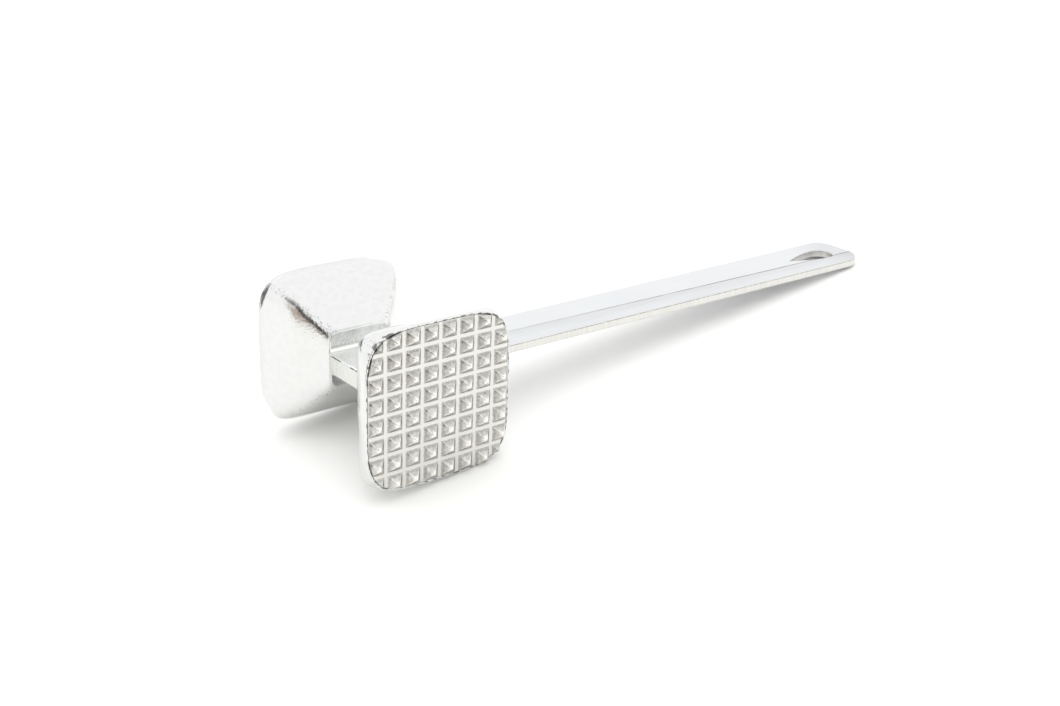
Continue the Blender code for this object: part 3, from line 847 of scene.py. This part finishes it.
def side_of_bar(tree, finish, place_on, apart):
    """The bar's sheared sides: dull, a little yellow, and torn from top to bottom, with a dark line along the
    burr.
    """
    # The tears are 1.1 mm apart and 9 mm long.
    upright = (1 / (1.1 * MM), 1 / (1.1 * MM), 1 / (9 * MM))
    tears = node(tree, "Mapping", {"Vector": place_on, "Scale": upright})
    tears = node(tree, "TexNoise", {"Vector": tears, "Scale": 1.0, "Detail": 3.0})
    tears = node(tree, "MapRange", [tears, 0.3, 0.7, 0.95, 1.02], **SMOOTH)
    dull = node(tree, "VectorMath", {0: (*finish.sheared,), "Scale": tears}, operation="SCALE")
    # A dark line 0.5 mm wide just under the top edge, thinner in patches of 0.9 mm.
    burr = node(tree, "Math", [apart["Z"], BAR[1].z - 0.62 * MM], operation="SUBTRACT")
    burr = node(tree, "Math", [burr], operation="ABSOLUTE")
    burr = node(tree, "MapRange", [burr, 0.06 * MM, 0.26 * MM, 0.5, 0.0], **SMOOTH)
    thin = patches(tree, place_on, 0.9 * MM, 4.0, 0.38, 0.60, 0.45, 1.0)
    burr = node(tree, "Math", [burr, thin], operation="MULTIPLY")
    return node(tree, "Mix", {0: burr, 6: dull, 7: (*finish.soot_and_shade, 1.0)}, data_type="RGBA")


def belt_polished_bar(finish):
    """Aluminium flat bar, sheared to width and polished lengthwise on a fine belt."""
    material, tree, place_on = new_material("belt_polished_aluminium")
    apart = node(tree, "SeparateXYZ", [place_on]).outputs
    streaks, gloss = belt_gloss(tree, place_on)
    flat = facing_up(tree)
    top = top_of_bar(tree, finish, place_on, apart, streaks)
    side = side_of_bar(tree, finish, place_on, apart)
    colour = node(tree, "Mix", {0: flat, 6: side, 7: top}, data_type="RGBA")
    rough = node(tree, "Mix", {0: flat, 2: 0.42, 3: gloss}, data_type="FLOAT")
    return finished(material, {"Metallic": 1.0, "Base Color": colour, "Roughness": rough})


def zinc_plated(finish):
    """Steel with bright zinc plate: a cool grey with a faint cloud in its gloss."""
    material, tree, place_on = new_material("zinc_plated_steel")
    # The cloud is 1.5 mm across.
    rough = patches(tree, place_on, 1.5 * MM, 3.0, 0.3, 0.7, 0.26, 0.42)
    return finished(material, {"Metallic": 1.0, "Base Color": (*finish.zinc, 1.0), "Roughness": rough})


def floor_paint(colour):
    """Matt painted board: pale, with a barely visible unevenness of about 60 mm."""
    material, tree, place_on = new_material("matt_board")
    rough = patches(tree, place_on, 60 * MM, 2.0, 0.3, 0.7, 0.75, 0.85)
    return finished(material, {"Base Color": (*colour, 1.0), "Roughness": rough})


def flag_cloth(name, colour):
    """Matt studio cloth: one colour, clouded every 18 mm."""
    material, tree, place_on = new_material(name)
    weave = patches(tree, place_on, 18 * MM, 3.0, 0.3, 0.7, 0.7, 1.2)
    cloth = node(tree, "VectorMath", {0: linear(colour)[:3], "Scale": weave}, operation="SCALE")
    return finished(material, {"Base Color": cloth, "Roughness": 0.9})


# Operators.


class MALLET_OT_bells(bpy.types.Operator):
    """Build the two flared bells"""

    bl_idname = "mallet.bells"
    bl_label = "Bells"

    def execute(self, context):
        head = context.scene.mallet_head
        finish = context.scene.mallet_finish
        material = polished_casting(finish, finish.polished)
        add_bell(head, "front_bell", -1, head.front_width, head.front_lip, material)
        add_bell(head, "back_bell", 1, head.back_width, head.back_lip, material)
        return {"FINISHED"}


class MALLET_OT_hub(bpy.types.Operator):
    """Build the hub between the bells"""

    bl_idname = "mallet.hub"
    bl_label = "Hub"

    def execute(self, context):
        scene = context.scene
        finish = scene.mallet_finish
        material = polished_casting(finish, finish.hub, finish.hub_sides_shaded)
        add_hub(scene.mallet_head, scene.mallet_handle, material)
        return {"FINISHED"}


class MALLET_OT_tooth_plate(bpy.types.Operator):
    """Build the toothed plate"""

    bl_idname = "mallet.tooth_plate"
    bl_label = "Toothed plate"

    def execute(self, context):
        head = context.scene.mallet_head
        plate = add_object("tooth_plate_casting", tooth_grid(head))
        half = TOOTH_PLATE[1].x
        ends = (TOOTH_PLATE[0].y - MM, -HEAD_HALF + head.plate_thickness + MM)
        carve(plate, loft("outline", [superellipse(half, half, FACE_SQUARENESS, y) for y in ends]), "INTERSECT")
        add_boss(plate, -1, -TOOTH_PLATE[1].y, head)
        material = satin_casting(context.scene.mallet_finish, head.tooth_pitch, head.tooth_groove)
        place(plate, material, "tooth_plate", sharp=50.0)
        return {"FINISHED"}


class MALLET_OT_pounding_plate(bpy.types.Operator):
    """Build the smooth plate"""

    bl_idname = "mallet.pounding_plate"
    bl_label = "Smooth plate"

    def execute(self, context):
        head = context.scene.mallet_head
        half = POUNDING_PLATE[1].x
        bevel = 0.3 * MM
        rings = [superellipse(half, half, FACE_SQUARENESS, HEAD_HALF - head.plate_thickness)]
        for i in range(5):
            angle = math.pi / 2 * i / 4
            inset = bevel * (1 - math.cos(angle))
            y = HEAD_HALF - bevel * (1 - math.sin(angle))
            rings.append(superellipse(half - inset, half - inset, FACE_SQUARENESS, y))
        plate = add_object("pounding_plate_casting", loft("pounding_plate", rings))
        add_boss(plate, 1, POUNDING_PLATE[0].y, head)
        place(plate, belt_polished_plate(context.scene.mallet_finish), "pounding_plate")
        return {"FINISHED"}


class MALLET_OT_handle(bpy.types.Operator):
    """Build the handle"""

    bl_idname = "mallet.handle"
    bl_label = "Handle"

    def execute(self, context):
        add_handle(context.scene.mallet_handle, belt_polished_bar(context.scene.mallet_finish))
        return {"FINISHED"}


class MALLET_OT_fasteners(bpy.types.Operator):
    """Give the screws and pins their plate"""

    bl_idname = "mallet.fasteners"
    bl_label = "Screws and pins"

    def execute(self, context):
        material = zinc_plated(context.scene.mallet_finish)
        for name in ("front_bell_screw", "back_bell_screw", *PINS):
            piece = frame["nodes"][name]
            piece.data.materials.clear()
            piece.data.materials.append(material)
        return {"FINISHED"}


def direction(bearing, height):
    """The way out from the mallet at a bearing and a height angle in degrees."""
    a, h = math.radians(bearing), math.radians(height)
    return Vector((math.sin(a) * math.cos(h), -math.cos(a) * math.cos(h), math.sin(h)))


def add_light(name, target, bearing, height, distance, size, power):
    """A square soft light aimed at the target from a bearing and a height angle in degrees."""
    back = direction(bearing, height)
    data = bpy.data.lights.new(name, "AREA")
    data.shape = "SQUARE"
    data.size = size
    data.energy = power
    light = add_object(name, data)
    light.visible_glossy = False
    light.location = target + back * distance
    light.rotation_mode = "QUATERNION"
    light.rotation_quaternion = back.to_track_quat("Z", "Y")


def add_world():
    """A pale studio all round, with a darker place over the black flag that only shows in the polished metal."""
    world = bpy.data.worlds.new("studio")
    world.use_nodes = True
    tree = world.node_tree
    tree.nodes.clear()
    looking = node(tree, "TexCoord").outputs["Generated"]
    facing = node(tree, "VectorMath", [looking, direction(FLAG_BEARING, 34.0)], operation="DOT_PRODUCT")
    rim, core = math.cos(math.radians(18.0)), math.cos(math.radians(8.0))
    share = node(tree, "MapRange", [facing, rim, core], **SMOOTH)
    seen = node(tree, "LightPath").outputs["Is Camera Ray"]
    mirrored = node(tree, "Math", [1.0, seen], operation="SUBTRACT")
    share = node(tree, "Math", [share, mirrored], operation="MULTIPLY")
    colour = node(tree, "Mix", {0: share, 6: linear("#FFFFFF"), 7: linear("#6A605A")}, data_type="RGBA")
    background = node(tree, "Background", {"Color": colour, "Strength": 1.22})
    node(tree, "OutputWorld", {"Surface": background})
    bpy.context.scene.world = world


def add_flag(name, bearing, width, height, colour):
    """A studio flag standing on the floor, there only to darken what the polished metal mirrors."""
    place_at = MALLET.translation + direction(bearing, 0.0) * FLAG_DISTANCE
    floor = CAD_BOUNDS[0].z
    across = direction(bearing, 0.0).cross(Vector((0.0, 0.0, 1.0))) * width / 2
    bm = bmesh.new()
    corners = [place_at + across * side for side in (-1, 1)]
    ends = [(corners[0], floor), (corners[1], floor), (corners[1], floor + height), (corners[0], floor + height)]
    bm.faces.new([bm.verts.new((point.x, point.y, z)) for point, z in ends])
    flag = add_object(name, mesh_from(bm, name))
    flag.data.materials.append(flag_cloth(name, colour))
    for ray in ("camera", "diffuse", "transmission", "shadow"):
        setattr(flag, "visible_" + ray, False)


class MALLET_OT_stage(bpy.types.Operator):
    """Lay the floor and set up the lights and the camera"""

    bl_idname = "mallet.stage"
    bl_label = "Studio"

    def execute(self, context):
        scene = context.scene
        stage = scene.mallet_stage
        bm = bmesh.new()
        bmesh.ops.create_grid(bm, x_segments=4, y_segments=4, size=4.0)
        floor = add_object("floor", mesh_from(bm, "floor"))
        floor.location.z = CAD_BOUNDS[0].z - 0.05 * MM
        floor.data.materials.append(floor_paint(stage.floor_colour))
        target = (CAD_BOUNDS[0] + CAD_BOUNDS[1]) / 2
        add_light("overhead", target, 0.0, 88.0, 1.2, 1.5, 3.0)
        add_light("front_fill", target, -30.0, 28.0, 1.2, 1.0, 0.8)
        add_world()
        add_flag("black_flag", FLAG_BEARING, 0.100, 0.17, "#2E2624")
        add_flag("tan_flag", -63.5, 0.095, 0.11, "#B7A79A")
        add_flag("grey_flag", -165.0, 0.150, 0.10, "#4C504E")
        data = bpy.data.cameras.new("camera")
        data.lens = stage.lens
        data.sensor_width = 36.0
        data.clip_start = 0.01
        data.clip_end = 50.0
        camera = add_object("camera", data)
        back = direction(math.degrees(stage.azimuth), math.degrees(stage.elevation))
        level = back.to_track_quat("Z", "Y").to_matrix().to_4x4()
        camera.matrix_world = Matrix.Translation(stage.camera_place) @ level @ Matrix.Rotation(-stage.roll, 4, "Z")
        scene.camera = camera
        scene.view_settings.view_transform = "Standard"
        return {"FINISHED"}


class MALLET_PT_panel(bpy.types.Panel):
    """Lists the mallet's pieces and its studio"""

    bl_label = "Meat mallet"
    bl_idname = "MALLET_PT_panel"
    bl_space_type = "VIEW_3D"
    bl_region_type = "UI"
    bl_category = "Mallet"

    def draw(self, context):
        for operator in OPERATORS:
            self.layout.operator(operator.bl_idname)
        for name in SETTINGS:
            group = getattr(context.scene, name)
            box = self.layout.box()
            for prop in group.bl_rna.properties:
                if prop.identifier not in ("rna_type", "name"):
                    box.prop(group, prop.identifier)


OPERATORS = (
    MALLET_OT_bells,
    MALLET_OT_hub,
    MALLET_OT_tooth_plate,
    MALLET_OT_pounding_plate,
    MALLET_OT_handle,
    MALLET_OT_fasteners,
    MALLET_OT_stage,
)
SETTINGS = {
    "mallet_head": HeadSettings,
    "mallet_handle": HandleSettings,
    "mallet_finish": FinishSettings,
    "mallet_stage": StageSettings,
}


def register():
    for name, group in SETTINGS.items():
        bpy.utils.register_class(group)
        setattr(bpy.types.Scene, name, bpy.props.PointerProperty(type=group))
    for operator in OPERATORS:
        bpy.utils.register_class(operator)
    bpy.utils.register_class(MALLET_PT_panel)


def unregister():
    bpy.utils.unregister_class(MALLET_PT_panel)
    for operator in reversed(OPERATORS):
        bpy.utils.unregister_class(operator)
    for name, group in reversed(SETTINGS.items()):
        delattr(bpy.types.Scene, name)
        bpy.utils.unregister_class(group)


def main():
    register()
    bpy.ops.mallet.bells()
    bpy.ops.mallet.hub()
    bpy.ops.mallet.tooth_plate()
    bpy.ops.mallet.pounding_plate()
    bpy.ops.mallet.handle()
    bpy.ops.mallet.fasteners()
    bpy.ops.mallet.stage()


if __name__ == "__main__":
    main()
